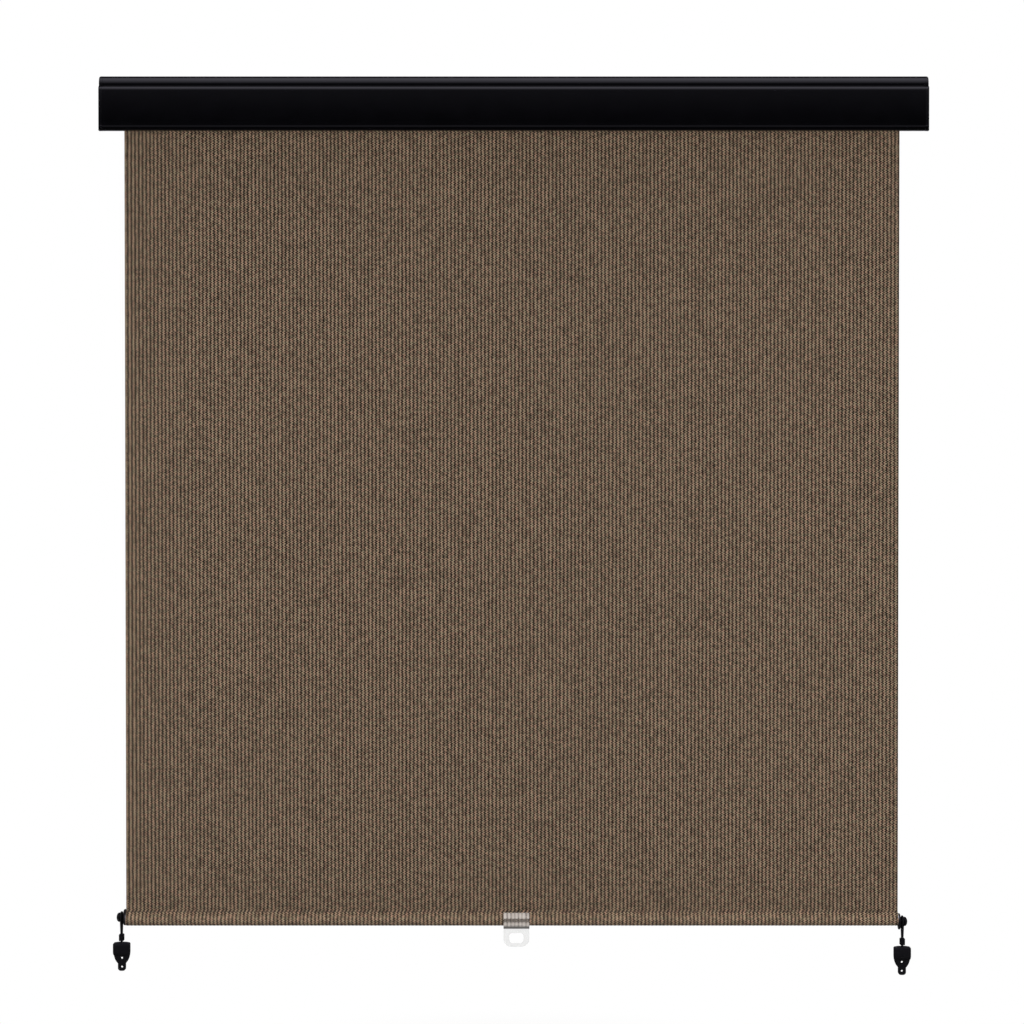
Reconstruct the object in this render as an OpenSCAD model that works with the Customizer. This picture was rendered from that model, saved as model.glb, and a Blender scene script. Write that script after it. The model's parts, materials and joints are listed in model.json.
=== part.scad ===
// Outdoor roller shade with a spring roller, fully lowered.
// X runs along the roller, the wall is the plane y = 0, the front faces -Y and Z is up.
// The origin is the centre of the four wall screw holes, at the height of the roller's axis.

/* [Overall] */
// Width over the end caps
shade_w = 1830; // [1200:10:2440]
// Drop from the top of the valance to the bottom of the hem
drop = 1892; // [1200:1:2440]
// Cloth edge to valance end on the idle side
idle_gap = 46; // [44:1:70]
// Cloth edge to valance end on the spring side
spring_gap = 54; // [50:1:80]

/* [Valance] */
// Height of the valance
valance_h = 123; // [114:1:150]
// Top of the valance above the roller's axis
valance_rise = 60; // [54:1:70]
// Wall to the face of the valance
valance_d = 102; // [96:1:130]
// Wall thickness of the valance
valance_wall = 2.4; // [1.6:0.1:2.6]
// Gap between the valance and the wall
back_gap = 3; // [1:0.5:6]
// Radius of the rounded top edge
shoulder_r = 18; // [10:1:18]
// Step from the shoulder out to the face
face_step = 11.5; // [11:0.5:13]
// How far the bowed face leans back at its top
face_bow = 2.2; // [0.6:0.1:2.4]
// Top of the valance down to the ledge
ledge_drop = 24.5; // [22:0.5:30]
// Rounding of the ledge
ledge_r = 8.5; // [5:0.5:8.5]
// Radius of the shallow bead along the lower edge
bead_r = 9; // [7:0.5:12]
// How far the bead stands out of the face
bead_out = 0.6; // [0.4:0.1:0.8]
// Bottom of the valance up to the middle of the bead
bead_rise = 8.5; // [8.5:0.5:16]
// Rounding of the bottom edge
corner_r = 4; // [3.5:0.5:4]
// Width of the lip turned in along the bottom
lip_w = 12; // [8:1:20]

/* [End caps] */
// Thickness of an end cap
cap_t = 8; // [5:0.5:12]
// Rounding of its outer edges
cap_r = 5; // [2:0.5:6]
// Rounding of its lower outer corner
cap_low_r = 1.5; // [1:0.5:6]
// Length of its flanges inside the valance
flange_l = 8; // [5:1:9]
// Thickness of those flanges
flange_t = 1.6; // [1.2:0.1:2]
// Rise of its lower edge towards the wall
cap_rise = 24; // [16:1:40]

/* [Brackets] */
// Thickness of the bracket's sheet
bracket_t = 2.5; // [2:0.1:3]
// Inner radius of the bracket's bends
bend_r = 2; // [1:0.5:3]
// Room between an end cap and a bracket
cap_room = 8.5; // [8:0.5:20]
// Reach of the side plate from the wall
plate_d = 74; // [68:1:80]
// Side plate above the roller's axis
plate_high = 44; // [36:1:44]
// Side plate below the roller's axis
plate_low = 36; // [34:1:50]
// Rounding of the side plate's front corners
plate_r = 12; // [4:1:20]
// Width of the flange on the wall
wall_flange_w = 30; // [26:1:34]
// Height between the two wall screw holes
hole_pitch = 50; // [40:1:56]
// Diameter of a wall screw hole
hole_d = 5.5; // [4:0.1:6.5]
// Width of the tab that carries the valance
tab_w = 24; // [16:1:30]
// Length of the tab along the valance
tab_l = 30; // [20:1:60]
// Wall to the middle of the tab
tab_y = 30; // [28:1:40]

/* [Roller] */
// Wall to the roller's axis
axis_y = 48; // [46:1:52]
// Outer diameter of the roller tube
tube_d = 38; // [36:0.5:42]
// Wall thickness of the roller tube
tube_wall = 1.3; // [1:0.1:2]
// Tube length past each edge of the cloth
tube_over = 4; // [2:1:8]
// Diameter of the flanges at the tube's ends
roller_flange_d = 50; // [48:1:54]
// Thickness of those flanges
roller_flange_t = 3; // [2:0.5:4]
// Length of the plugs inside the tube
plug_l = 40; // [25:1:60]
// Diameter of the idle pin
pin_d = 10; // [8:0.5:12]
// Diameter of the fixed shaft
shaft_d = 10; // [8:0.5:11]
// Length of the fixed shaft inside the tube
shaft_l = 360; // [250:5:420]
// Thickness of the shaft across its flats
flat_t = 6.5; // [5:0.5:7]
// Wire of the lift spring
spring_wire = 2; // [1.4:0.1:2.4]
// Mean diameter of the lift spring
spring_d = 23; // [22:0.5:25]
// Pitch of the lift spring
spring_pitch = 10; // [8:0.5:14]

/* [Cloth] */
// Thickness of the cloth over its ribs
cloth_t = 1.4; // [1.2:0.1:2]
// Height of a rib on each face
rib_h = 0.4; // [0.2:0.05:0.5]
// Spacing of the ribs
rib_pitch = 8.4; // [7:0.1:14]
// Diameter of the rail in the hem
rail_d = 25; // [22:0.5:28]
// Wall thickness of the rail
rail_wall = 1.5; // [1:0.1:2.5]
// Length of the rail past each edge of the cloth
rail_over = 1.5; // [0.5:0.5:5]
// Rise of the hem's seam above the hem's round
seam_rise = 4.4; // [2:0.2:8]

/* [Rail ends] */
// How far a rail plug's knob lies off the rail's axis
knob_offset = 4.7; // [3:0.1:5]
// Diameter of the plug's flange
plug_flange_d = 36; // [34:1:44]
// Thickness of the plug's flange
plug_flange_t = 3.5; // [2:0.5:5]
// Diameter of the post that the tether's loop hangs on
post_d = 15; // [12:0.5:15]
// Diameter of the knob's head
head_d = 21; // [19:0.5:26]
// Length of the groove for the loop
groove_l = 6; // [5.6:0.2:8]
// Length of the knob's head
head_l = 8; // [6:0.5:12]

/* [Pull clip] */
// Width of the clip
clip_w = 58; // [40:1:80]
// Wall thickness of the clip
clip_wall = 2.6; // [2:0.1:3.5]
// Place of the clip from the middle of the cloth
clip_x = 10; // [-400:1:400]
// How far the clip's legs stop below the hem's seam
leg_short = 2.8; // [2:0.1:6]
// Height of the foot under the hem
foot_h = 6.4; // [4.5:0.1:9]
// Height of the finger ring
ring_h = 41; // [36:1:60]
// Thickness of the finger ring
ring_t = 3.2; // [2.4:0.2:5]
// Width of the finger hole
ring_hole_w = 32; // [22:1:36]
// Height of the finger hole
ring_hole_h = 23; // [16:1:24]

/* [Hold-downs] */
// Width of a hold-down bracket
hold_w = 37.5; // [32:0.5:50]
// Height of a hold-down bracket
hold_h = 65; // [62:1:80]
// Thickness of its housing
hold_d = 14; // [13:0.5:18]
// Thickness of its screw tab
hold_tab_t = 6; // [4:0.5:7]
// Width of the screw tab
hold_tab_w = 17.6; // [15:0.2:22]
// Distance between its screw holes
hold_pitch = 20; // [18:1:22]
// Diameter of its screw holes
hold_hole_d = 4.4; // [4:0.1:6]
// Diameter of the countersinks
hold_sink_d = 9.6; // [8:0.2:11]
// Height of a ferrule
ferrule_h = 14.5; // [12:0.5:18]
// Width of a ferrule
ferrule_w = 11.5; // [10:0.5:14]

/* [Hidden] */
$fn = 64;

// Clearances: a seat that doesn't move, a piece that runs past another, a turning pin
seat = 0.2;
run = 0.3;
turn = 0.05;
// How far a cut goes past the face it opens
past = 1;

// Colours
near_black = [0.07, 0.07, 0.08];
steel = [0.62, 0.63, 0.64];
aluminium = [0.78, 0.79, 0.8];
tan_cloth = [0.39, 0.33, 0.28];
nylon = [0.85, 0.84, 0.8];
clear = [0.9, 0.92, 0.93, 0.55];

// Heights and depths
half_w = shade_w / 2;
top_z = valance_rise;
bottom_z = valance_rise - valance_h;
shoulder_d = valance_d - face_step;
ledge_z = top_z - ledge_drop;
roof_z = top_z - valance_wall;

// Cloth, roll and rail
cloth_w = shade_w - idle_gap - spring_gap;
cloth_x = (idle_gap - spring_gap) / 2;
rib_n = round(cloth_w / rib_pitch);
tube_r = tube_d / 2;
tube_in_r = tube_r - tube_wall;
turns = 2.25;
turn_pitch = cloth_t + turn;
roll_end_r = tube_r + seat + turns * turn_pitch;
panel_y = -axis_y + roll_end_r + cloth_t / 2;
hem_in_r = rail_d / 2 + run;
hem_r = hem_in_r + cloth_t;
rail_z = top_z - drop + hem_r;
seam_z = rail_z + hem_r + seam_rise;
rail_half = cloth_w / 2 + rail_over;

// Stations along the roller
bracket_out = half_w - cap_t - cap_room;
bracket_in = bracket_out - bracket_t;
tube_left = cloth_x - cloth_w / 2 - tube_over;
tube_right = cloth_x + cloth_w / 2 + tube_over;

// Points of an arc round c from angle a to angle b in n steps
function arc(c, r, a, b, n) =
    [for (i = [0:n]) c + r * [cos(a + (b - a) * i / n), sin(a + (b - a) * i / n)]];
function reversed(p) = [for (i = [len(p) - 1:-1:0]) p[i]];
// Right half of an outline followed by its mirror image
function both_halves(p) = concat(p, [for (q = reversed(p)) if (q[0] > 0.01) [-q[0], q[1]]]);

// Corners of a rectangle from [a, b] to [c, d] with round corners
function round_box(a, b, c, d, r) = concat(
    arc([c - r, b + r], r, -90, 0, 6),
    arc([c - r, d - r], r, 0, 90, 6),
    arc([a + r, d - r], r, 90, 180, 6),
    arc([a + r, b + r], r, 180, 270, 6)
);

// A flat outline in Y and Z, extruded along X from x0 to x1
module along_x(x0, x1) {
    translate([x0, 0, 0])
        rotate([90, 0, 90])
            linear_extrude(height = x1 - x0)
                children();
}

// A flat outline in X and Z, extruded along Y from y0 towards the wall to y1
module along_y(y0, y1) {
    translate([0, y1, 0])
        rotate([90, 0, 0])
            linear_extrude(height = y1 - y0)
                children();
}

// A turned piece on the roller's axis, its profile's height pointing along +X from x
module turned(x) {
    translate([x, -axis_y, 0])
        rotate([0, 90, 0])
            children();
}

// A tube of n sides swept along points, with a radius at each point
module swept(points, radii, n, up) {
    last = len(points) - 1;
    rings = [
        for (i = [0:last])
            let (
                ahead = points[min(i + 1, last)] - points[max(i - 1, 0)],
                t = ahead / norm(ahead),
                side = cross(t, up),
                u = side / norm(side),
                v = cross(u, t)
            )
            for (k = [0:n - 1])
                points[i] + radii[i] * (cos(360 * k / n) * u + sin(360 * k / n) * v)
    ];
    sides = [
        for (i = [0:last - 1])
            for (k = [0:n - 1])
                let (a = i * n + k, b = i * n + (k + 1) % n)
                for (f = [[a, b, b + n], [a, b + n, a + n]]) f
    ];
    ends = [[for (k = [n - 1:-1:0]) k], [for (k = [0:n - 1]) last * n + k]];
    polyhedron(rings, concat(sides, ends));
}

// Points of a helix on the roller's axis from x0 to x1
function helix(x0, x1, r, pitch, steps) = [
    for (i = [0:round((x1 - x0) / pitch * steps)])
        let (a = 360 * i / steps)
        [x0 + pitch * i / steps, -axis_y + r * cos(a), r * sin(a)]
];

// Valance

// Outline of the valance from its back edge over the shoulder, ledge and face to the lip, set out by o
bead_y = bead_r - bead_out - valance_d;
bead_z = bottom_z + bead_rise;
function bead(o) =
    let (a = acos(max(bead_r - bead_out + o, 0) / (bead_r + o)))
    arc([bead_y, bead_z], bead_r + o, 180 - a, 180 + a, 6);
face_top = ledge_z - ledge_r;
face_l = face_top - bead_z - bead_r * sin(acos(1 - bead_out / bead_r));
function bowed_face(o) =
    [for (i = [1:7]) [face_bow * pow(1 - i / 8, 2) - valance_d - o, face_top - face_l * i / 8]];
function skin(o, beaded = true) = concat(
    [[-back_gap, top_z + o]],
    arc([shoulder_r - shoulder_d, top_z - shoulder_r], shoulder_r + o, 90, 180, 10),
    [[-shoulder_d - o, ledge_z + o]],
    arc([ledge_r - valance_d + face_bow, face_top], max(ledge_r + o, seat), 90, 180, 5),
    bowed_face(o),
    beaded ? bead(o) : [],
    arc([corner_r - valance_d, bottom_z + corner_r], corner_r + o, 180, 270, 5),
    [[lip_w - valance_d, bottom_z - o]]
);

// Channel under the roof that the bracket tabs sit in, as two hooks drawn with the inner wall
rail_rib_t = 1.6;
hook_w = 4;
tab_top = roof_z - run;
hook_z = tab_top - bracket_t - run - rail_rib_t;
hook_reach = tab_w / 2 + run + rail_rib_t;
front_hook = [
    [0, roof_z], [0, hook_z], [hook_w, hook_z], [hook_w, hook_z + rail_rib_t],
    [rail_rib_t, hook_z + rail_rib_t], [rail_rib_t, roof_z]
];
hooks = concat(
    [for (p = front_hook) [p[0] - tab_y - hook_reach, p[1]]],
    [for (p = reversed(front_hook)) [-p[0] - tab_y + hook_reach, p[1]]]
);

module valance() {
    inner = reversed(skin(-valance_wall, false));
    last = len(inner) - 1;
    color(near_black)
        along_x(cap_t + seat - half_w, half_w - cap_t - seat)
            polygon(concat(skin(0), [for (i = [0:last - 1]) inner[i]], hooks, [inner[last]]));
}

// End caps

// Solid cap flush with the valance, with two flanges inside it and its outer edges rounded
module end_cap() {
    shadow = 0.1;
    inner = half_w - cap_t;
    flange = inner - flange_l;
    roof_in = roof_z - seat;
    face_in = valance_wall + seat + face_bow - valance_d;
    high = top_z + shadow;
    low = bottom_z - shadow;
    front = -valance_d - bead_out - shadow;
    color(near_black)
        intersection() {
            union() {
                along_x(inner, half_w + past)
                    polygon(concat(skin(0), [[-back_gap, bottom_z + cap_rise]]));
                along_x(flange, inner + past)
                    translate([shoulder_r - shoulder_d, roof_in - flange_t])
                        square([shoulder_d - shoulder_r - tab_y - tab_w / 2 - 2 * hook_w, flange_t]);
                along_x(flange, inner + past)
                    translate([face_in, bottom_z + 2 * corner_r])
                        square([flange_t, ledge_z - bottom_z - 4 * corner_r]);
            }
            along_y(front - past, 0)
                polygon(concat(
                    [[flange - past, high], [flange - past, low]],
                    arc([half_w - cap_low_r, low + cap_low_r], cap_low_r, -90, 0, 6),
                    arc([half_w - cap_r, high - cap_r], cap_r, 0, 90, 6)
                ));
            translate([0, 0, low - past])
                linear_extrude(height = high - low + 2 * past)
                    polygon(concat(
                        [[half_w, 0], [flange - past, 0], [flange - past, front]],
                        arc([half_w - cap_r, front + cap_r], cap_r, -90, 0, 6)
                    ));
        }
}

module left_end_cap() {
    mirror([1, 0, 0])
        end_cap();
}

module right_end_cap() {
    end_cap();
}

// Wall brackets

hole_x = bracket_out - wall_flange_w / 2 - bracket_t;
bend_out = bend_r + bracket_t;

// Section of a leg bent off a plate whose outer face is at x = bracket_out, reaching inwards at height h
function bent_leg(h, reach) =
    let (c = [bracket_out - bend_out, h - bend_out])
    concat(
        arc(c, bend_out, 0, 90, 5),
        [[bracket_out - reach, h], [bracket_out - reach, h - bracket_t]],
        arc(c, bend_r, 90, 0, 5)
    );

module bracket() {
    neck = hook_reach - hook_w - run;
    tab_back = tab_w / 2 - tab_y;
    tab_front = -tab_w / 2 - tab_y;
    difference() {
        union() {
            // Side plate with the neck of the tab
            along_x(bracket_in, bracket_out)
                polygon(concat(
                    [[-bend_out, plate_high], [-bend_out, -plate_low]],
                    reversed(arc([plate_r - plate_d, plate_r - plate_low], plate_r, 180, 270, 6)),
                    reversed(arc([plate_r - plate_d, plate_high - plate_r], plate_r, 90, 180, 6)),
                    [[-tab_y - neck, plate_high], [-tab_y - neck, tab_top - bend_out]],
                    [[neck - tab_y, tab_top - bend_out], [neck - tab_y, plate_high]]
                ));
            // Flange on the wall
            translate([0, 0, -plate_low])
                linear_extrude(height = plate_high + plate_low)
                    polygon(bent_leg(0, wall_flange_w));
            // Tab in the valance's channel
            along_y(tab_front, tab_back)
                polygon(bent_leg(tab_top, tab_l));
        }
        for (side = [-1, 1])
            translate([hole_x, bracket_t, side * hole_pitch / 2])
                rotate([90, 0, 0])
                    cylinder(d = hole_d, h = 4 * bracket_t);
        // Notches that clear the valance's hooks where the tab is bent
        for (y = [tab_front - past, neck - tab_y])
            translate([bracket_out - 2 * bend_out, y, tab_top - 2 * bend_out])
                cube([3 * bend_out, tab_w / 2 - neck + past, 3 * bend_out]);
    }
}

bush_wall = 2.5;
bush_r = pin_d / 2 + bush_wall;
module left_bracket() {
    color(steel)
        mirror([1, 0, 0])
            difference() {
                bracket();
                turned(bracket_in - bracket_t)
                    cylinder(r = bush_r + turn, h = 3 * bracket_t);
            }
}

// The spring side has a slot, open at the top, for the flats of the shaft
module right_bracket() {
    slot_w = flat_t + 2 * seat;
    color(steel)
        difference() {
            bracket();
            translate([bracket_in - bracket_t, -axis_y - slot_w / 2, -shaft_d / 2 - seat])
                cube([3 * bracket_t, slot_w, plate_high + shaft_d]);
        }
}

// Idle end

bush_flange_t = 2.5;
bush_flange_r = bush_r + 3.5;
bush_in = bracket_in - bush_flange_t;
proud = 1;
bush_end = bracket_out + proud;
module idle_bush() {
    r = pin_d / 2 + turn;
    color(nylon)
        mirror([1, 0, 0])
            turned(0)
                rotate_extrude()
                    polygon([
                        [r, bush_in], [bush_flange_r, bush_in], [bush_flange_r, bracket_in],
                        [bush_r, bracket_in], [bush_r, bush_end], [r, bush_end]
                    ]);
}

// Section of a plug in the tube: a ring and a hub joined by ribs, with a keyway over the spline channel
channel_w = 7;
channel_d = 4.9;
channel_skin = 1.2;
module plug_section(hub_r) {
    r = tube_in_r - seat / 2;
    ring_t = 2.6;
    difference() {
        union() {
            difference() {
                circle(r);
                circle(r - ring_t);
            }
            circle(hub_r);
            for (a = [30:60:330])
                rotate(a)
                    translate([0, -ring_t / 2])
                        square([r - ring_t / 2, ring_t]);
        }
        translate([-channel_w / 2 - seat, tube_r - channel_d - seat])
            square([channel_w + 2 * seat, 2 * channel_d]);
    }
}

hub_wall = 4;
idle_hub_r = pin_d / 2 + hub_wall;
hub_gap = 0.8;
idle_flange = -tube_left;
module idle_plug() {
    bore = pin_d / 2 + turn;
    color(near_black)
        mirror([1, 0, 0])
            difference() {
                union() {
                    translate([0, -axis_y, 0])
                        along_x(idle_flange - plug_l, idle_flange)
                            plug_section(idle_hub_r);
                    turned(idle_flange)
                        cylinder(d = roller_flange_d, h = roller_flange_t);
                    turned(idle_flange)
                        cylinder(r = idle_hub_r, h = bush_in - hub_gap - idle_flange);
                }
                turned(idle_flange - plug_l - past)
                    cylinder(r = bore, h = half_w);
            }
}

// Steel pin in the idle plug, with chamfered ends
module idle_pin() {
    chamfer = 1;
    r = pin_d / 2;
    start = idle_flange - plug_l;
    end = bush_end + 2 * proud;
    color(steel)
        mirror([1, 0, 0])
            turned(0)
                rotate_extrude()
                    polygon([
                        [0, start], [r - chamfer, start], [r, start + chamfer],
                        [r, end - chamfer], [r - chamfer, end], [0, end]
                    ]);
}

// Roller tube and cloth on it

// The channel for the spline is at the top of the tube
module roller_tube() {
    void_w = 4.6;
    slot_w = 1.8;
    color(aluminium)
        translate([0, -axis_y, 0])
            along_x(tube_left, tube_right)
                difference() {
                    union() {
                        difference() {
                            circle(tube_r);
                            circle(tube_in_r);
                        }
                        translate([-channel_w / 2, tube_r - channel_d])
                            square([channel_w, channel_d - tube_wall / 2]);
                    }
                    translate([-void_w / 2, tube_r - channel_d + channel_skin])
                        square([void_w, channel_d - 2 * channel_skin]);
                    translate([-slot_w / 2, tube_r - 2 * channel_skin])
                        square([slot_w, 3 * channel_skin]);
                }
}

module fabric_spline() {
    spline_w = 4.2;
    spline_t = 2.2;
    color(nylon)
        translate([0, -axis_y, 0])
            along_x(cloth_x - cloth_w / 2, cloth_x + cloth_w / 2)
                translate([-spline_w / 2, tube_r - channel_d + channel_skin + seat / 2])
                    square([spline_w, spline_t]);
}

// The turns left on the tube, wound inwards from the panel's tangent point to the spline
module fabric_roll() {
    steps = 32;
    first = 1;
    count = turns * steps;
    function at(i, rise) =
        let (a = i == 0 ? first : 360 * i / steps, r = roll_end_r - turn_pitch * i / steps + rise)
        r * [cos(a), sin(a)];
    color(tan_cloth)
        translate([0, -axis_y, 0])
            along_x(cloth_x - cloth_w / 2, cloth_x + cloth_w / 2)
                polygon(concat(
                    [for (i = [0:count]) at(i, cloth_t)],
                    [for (i = [count:-1:0]) at(i, 0)]
                ));
}

// The hanging cloth, ribbed on both faces
module fabric_panel() {
    pitch = cloth_w / rib_n;
    left = cloth_x - cloth_w / 2;
    low = cloth_t / 2 - rib_h;
    high = cloth_t / 2;
    rib = [[0, low], [0.2, high], [0.7, high], [0.9, low]];
    front = [for (i = [0:rib_n - 1]) for (p = rib) [left + (i + p[0]) * pitch, -p[1]]];
    back = [for (p = reversed(front)) [p[0], -p[1]]];
    color(tan_cloth)
        translate([0, panel_y, seam_z + run])
            linear_extrude(height = -seam_z - run)
                polygon(concat(front, [[left + cloth_w, -low], [left + cloth_w, low]], back));
}

// Spring end

spring_hub_r = shaft_d / 2 + hub_wall;
drum_r = spring_hub_r;
brake_room = 4.4;
cup_r = drum_r + brake_room;
cup_wall = 2.6;
cup_gap = 3;
cup_end = bracket_in - cup_gap;
collar_gap = 8;
collar_l = 10;
collar_x = tube_right - plug_l - collar_gap;
shaft_start = tube_right - shaft_l;
shaft_end = bracket_out + 7;
clip_groove_x = bracket_out + proud;
clip_groove_r = flat_t / 2 + 2 * run;
clip_t = 1.2;

// Fixed shaft: brake drum outside the tube, spring collar inside it, flats and a clip groove at the bracket
module spring_shaft() {
    r = shaft_d / 2;
    collar_r = spring_d / 2 - spring_wire / 2 - 4 * run;
    drum_start = tube_right + roller_flange_t + run;
    drum_end = bracket_in - run;
    color(steel)
        difference() {
            turned(0)
                rotate_extrude()
                    polygon([
                        [0, shaft_start], [r, shaft_start], [r, collar_x - collar_l],
                        [collar_r, collar_x - collar_l], [collar_r, collar_x], [r, collar_x],
                        [r, drum_start], [drum_r, drum_start],
                        [drum_r, drum_end], [r, drum_end], [r, clip_groove_x], [clip_groove_r, clip_groove_x],
                        [clip_groove_r, clip_groove_x + clip_t + seat], [r, clip_groove_x + clip_t + seat],
                        [r, shaft_end], [0, shaft_end]
                    ]);
            for (side = [-1, 1])
                translate([drum_end, -axis_y + side * (flat_t + shaft_d) / 2 - shaft_d / 2, -shaft_d])
                    cube([half_w, shaft_d, 2 * shaft_d]);
        }
}

// Snap ring in the shaft's groove outside the bracket
module shaft_clip() {
    snap = 1;
    rim = 3;
    start = clip_groove_x + seat / 2;
    mouth = 2 * clip_groove_r - snap;
    color(steel)
        translate([0, -axis_y, 0])
            along_x(start, start + clip_t)
                difference() {
                    circle(r = shaft_d / 2 + rim);
                    circle(r = clip_groove_r + turn);
                    translate([-mouth / 2, -shaft_d])
                        square([mouth, shaft_d]);
                }
}

// Plug that turns on the shaft, with a cup round the brake
module spring_plug() {
    bore = shaft_d / 2 + turn;
    color(near_black)
        difference() {
            union() {
                translate([0, -axis_y, 0])
                    along_x(tube_right - plug_l, tube_right)
                        plug_section(spring_hub_r);
                turned(tube_right)
                    cylinder(d = roller_flange_d, h = roller_flange_t);
                turned(tube_right)
                    cylinder(r = cup_r + cup_wall, h = cup_end - tube_right);
            }
            turned(tube_right - plug_l - past)
                cylinder(r = bore, h = half_w);
            turned(tube_right + roller_flange_t)
                cylinder(r = cup_r, h = half_w);
        }
}

// Driver on the inner end of the shaft, keyed to the tube
anchor_l = 20;
module spring_anchor() {
    color(near_black)
        difference() {
            translate([0, -axis_y, 0])
                along_x(shaft_start, shaft_start + anchor_l)
                    plug_section(spring_hub_r);
            turned(shaft_start - past)
                cylinder(r = shaft_d / 2 + turn, h = anchor_l + 2 * past);
        }
}

module lift_spring() {
    start = shaft_start + anchor_l + spring_wire / 2 + seat;
    line = helix(start, collar_x - spring_wire / 2, spring_d / 2, spring_pitch, 10);
    color(steel)
        swept(line, [for (p = line) spring_wire / 2], 5, [1, 0, 0]);
}

// Wrap spring round the brake drum
module brake_spring() {
    wire = 1.6;
    start = tube_right + roller_flange_t + wire / 2 + seat;
    r = drum_r + wire / 2 + 2 * run + seat;
    line = helix(start, cup_end - 2 * wire, r, 1.5 * wire, 12);
    color(steel)
        swept(line, [for (p = line) wire / 2], 5, [1, 0, 0]);
}

// Hem and rail

// Round of radius r drawn up to a peak of half width w at height h
function drop_shape(r, w, h) =
    let (a = atan2(h, w) - acos(r / norm([w, h])))
    concat([[w, h]], reversed(arc([0, 0], r, -180 - a, a, 28)), [[-w, h]]);
// Outline of the hem, set out by d
hem_peak = seam_z - rail_z;
flank_a = atan2(hem_peak, cloth_t) - acos(hem_r / norm([cloth_t, hem_peak]));
function hem_shape(d) = drop_shape(hem_r + d, cloth_t + d * cos(flank_a), hem_peak + d * sin(flank_a));

module at_rail() {
    translate([0, panel_y, rail_z])
        children();
}

module hem() {
    color(tan_cloth)
        at_rail()
            along_x(cloth_x - cloth_w / 2, cloth_x + cloth_w / 2)
                difference() {
                    polygon(hem_shape(0));
                    polygon(drop_shape(hem_in_r, cloth_t / 8, hem_in_r + seam_rise / 2));
                }
}

module rail_tube() {
    color(aluminium)
        at_rail()
            along_x(cloth_x - rail_half, cloth_x + rail_half)
                difference() {
                    circle(d = rail_d);
                    circle(d = rail_d - 2 * rail_wall);
                }
}

// Plug whose flange, post and knob lie off the rail's axis by rise
boss_l = 2.5;
loop_x = plug_flange_t + boss_l + groove_l / 2;
plug_l_in = 28;
module rail_plug(rise) {
    post_r = post_d / 2;
    head_r = head_d / 2;
    spigot_r = rail_d / 2 - rail_wall - seat / 2;
    boss = plug_flange_t + boss_l;
    head = boss + groove_l;
    rim = 1.6;
    edge = 1;
    root = 2;
    wall = 2.5;
    dome = arc([0, 0], 1, 0, 90, 8);
    color(near_black) {
        translate([0, 0, rise])
            rotate([0, 90, 0])
                rotate_extrude()
                    polygon(concat(
                        [[0, 0], [plug_flange_d / 2, 0], [plug_flange_d / 2, plug_flange_t - edge]],
                        [[plug_flange_d / 2 - edge, plug_flange_t], [post_r + root, plug_flange_t]],
                        [[post_r + edge, boss], [post_r, boss], [post_r, head], [head_r - edge, head]],
                        [for (p = dome) [head_r * p[0], head + rim + (head_l - rim) * p[1]]]
                    ));
        rotate([0, 90, 0])
            translate([0, 0, -plug_l_in])
                difference() {
                    cylinder(r = spigot_r, h = plug_l_in);
                    translate([0, 0, -past])
                        cylinder(r = spigot_r - wall, h = plug_l_in - past);
                }
    }
}

module left_rail_plug() {
    at_rail()
        translate([cloth_x - rail_half, 0, 0])
            mirror([1, 0, 0])
                rail_plug(knob_offset);
}

module right_rail_plug() {
    at_rail()
        translate([cloth_x + rail_half, 0, 0])
            rail_plug(-knob_offset);
}

// Pull clip: a band snapped round the hem up to its seam, a foot and a finger ring, in one clear moulding
module pull_clip() {
    in_r = hem_r + run;
    foot_z = -in_r - foot_h;
    foot_t = 8;
    foot_flare = 1;
    half = clip_w / 2;
    sunk = 3;
    chin_r = 18;
    hole_r = 8;
    hole_drop = 1;
    ring_low = foot_z - ring_h;
    hole_z = foot_z - ring_h / 2 - hole_drop;
    ring = both_halves(concat(
        [[half, foot_z + sunk]],
        reversed(arc([half - chin_r, ring_low + chin_r], chin_r, -90, 0, 8))
    ));
    color(clear)
        at_rail()
            translate([cloth_x + clip_x, 0, 0]) {
                along_x(-half, half)
                    difference() {
                        polygon(hem_shape(run + clip_wall));
                        polygon(hem_shape(run));
                        translate([-hem_peak, hem_peak - leg_short])
                            square(2 * hem_peak);
                    }
                along_x(-half, half)
                    polygon([
                        [-foot_t / 2, foot_z], [foot_t / 2, foot_z],
                        [foot_t / 2 + foot_flare, -in_r - clip_wall / 4],
                        [-foot_t / 2 - foot_flare, -in_r - clip_wall / 4]
                    ]);
                along_y(-ring_t / 2, ring_t / 2)
                    difference() {
                        polygon(ring);
                        polygon(round_box(
                            -ring_hole_w / 2, hole_z - ring_hole_h / 2,
                            ring_hole_w / 2, hole_z + ring_hole_h / 2, hole_r
                        ));
                    }
            }
}

// Hold-downs, in a frame at the post with the bracket hanging below

cord_r = 2.5;
ferrule_top = -38;
hold_top = -56;
// Route of the loop over the post, as [y, z] from the post's axis
loop_route = [
    [-2.7, -46], [-2.7, -39], [-4.2, -31], [-6.4, -20], [-8.8, -9], [-10.4, -2], [-10.5, 2.4],
    [-9, 6], [-6, 9], [-2.3, 10.6], [2.3, 10.6], [6, 9], [9, 6],
    [10.5, 2.4], [10.4, -2], [8.8, -9], [6.4, -20], [4.2, -31], [2.7, -39], [2.7, -46]
];
// Route of the tail into the bracket, as [z, radius], ending in a knot
tail_route = [
    [-48.2, 2.5], [-56, 2.5], [-64, 2.5], [-67, 2.5],
    [-68, 3.8], [-70, 4.6], [-73, 4.6], [-75, 3.6], [-76, 2]
];

module tether() {
    loop = [for (p = loop_route) [0, p[0], p[1]]];
    tail = [for (p = tail_route) [0, 0, p[0]]];
    color(near_black) {
        swept(loop, [for (p = loop) cord_r], 8, [1, 0, 0]);
        swept(tail, [for (p = tail_route) p[1]], 8, [1, 0, 0]);
    }
}

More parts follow.
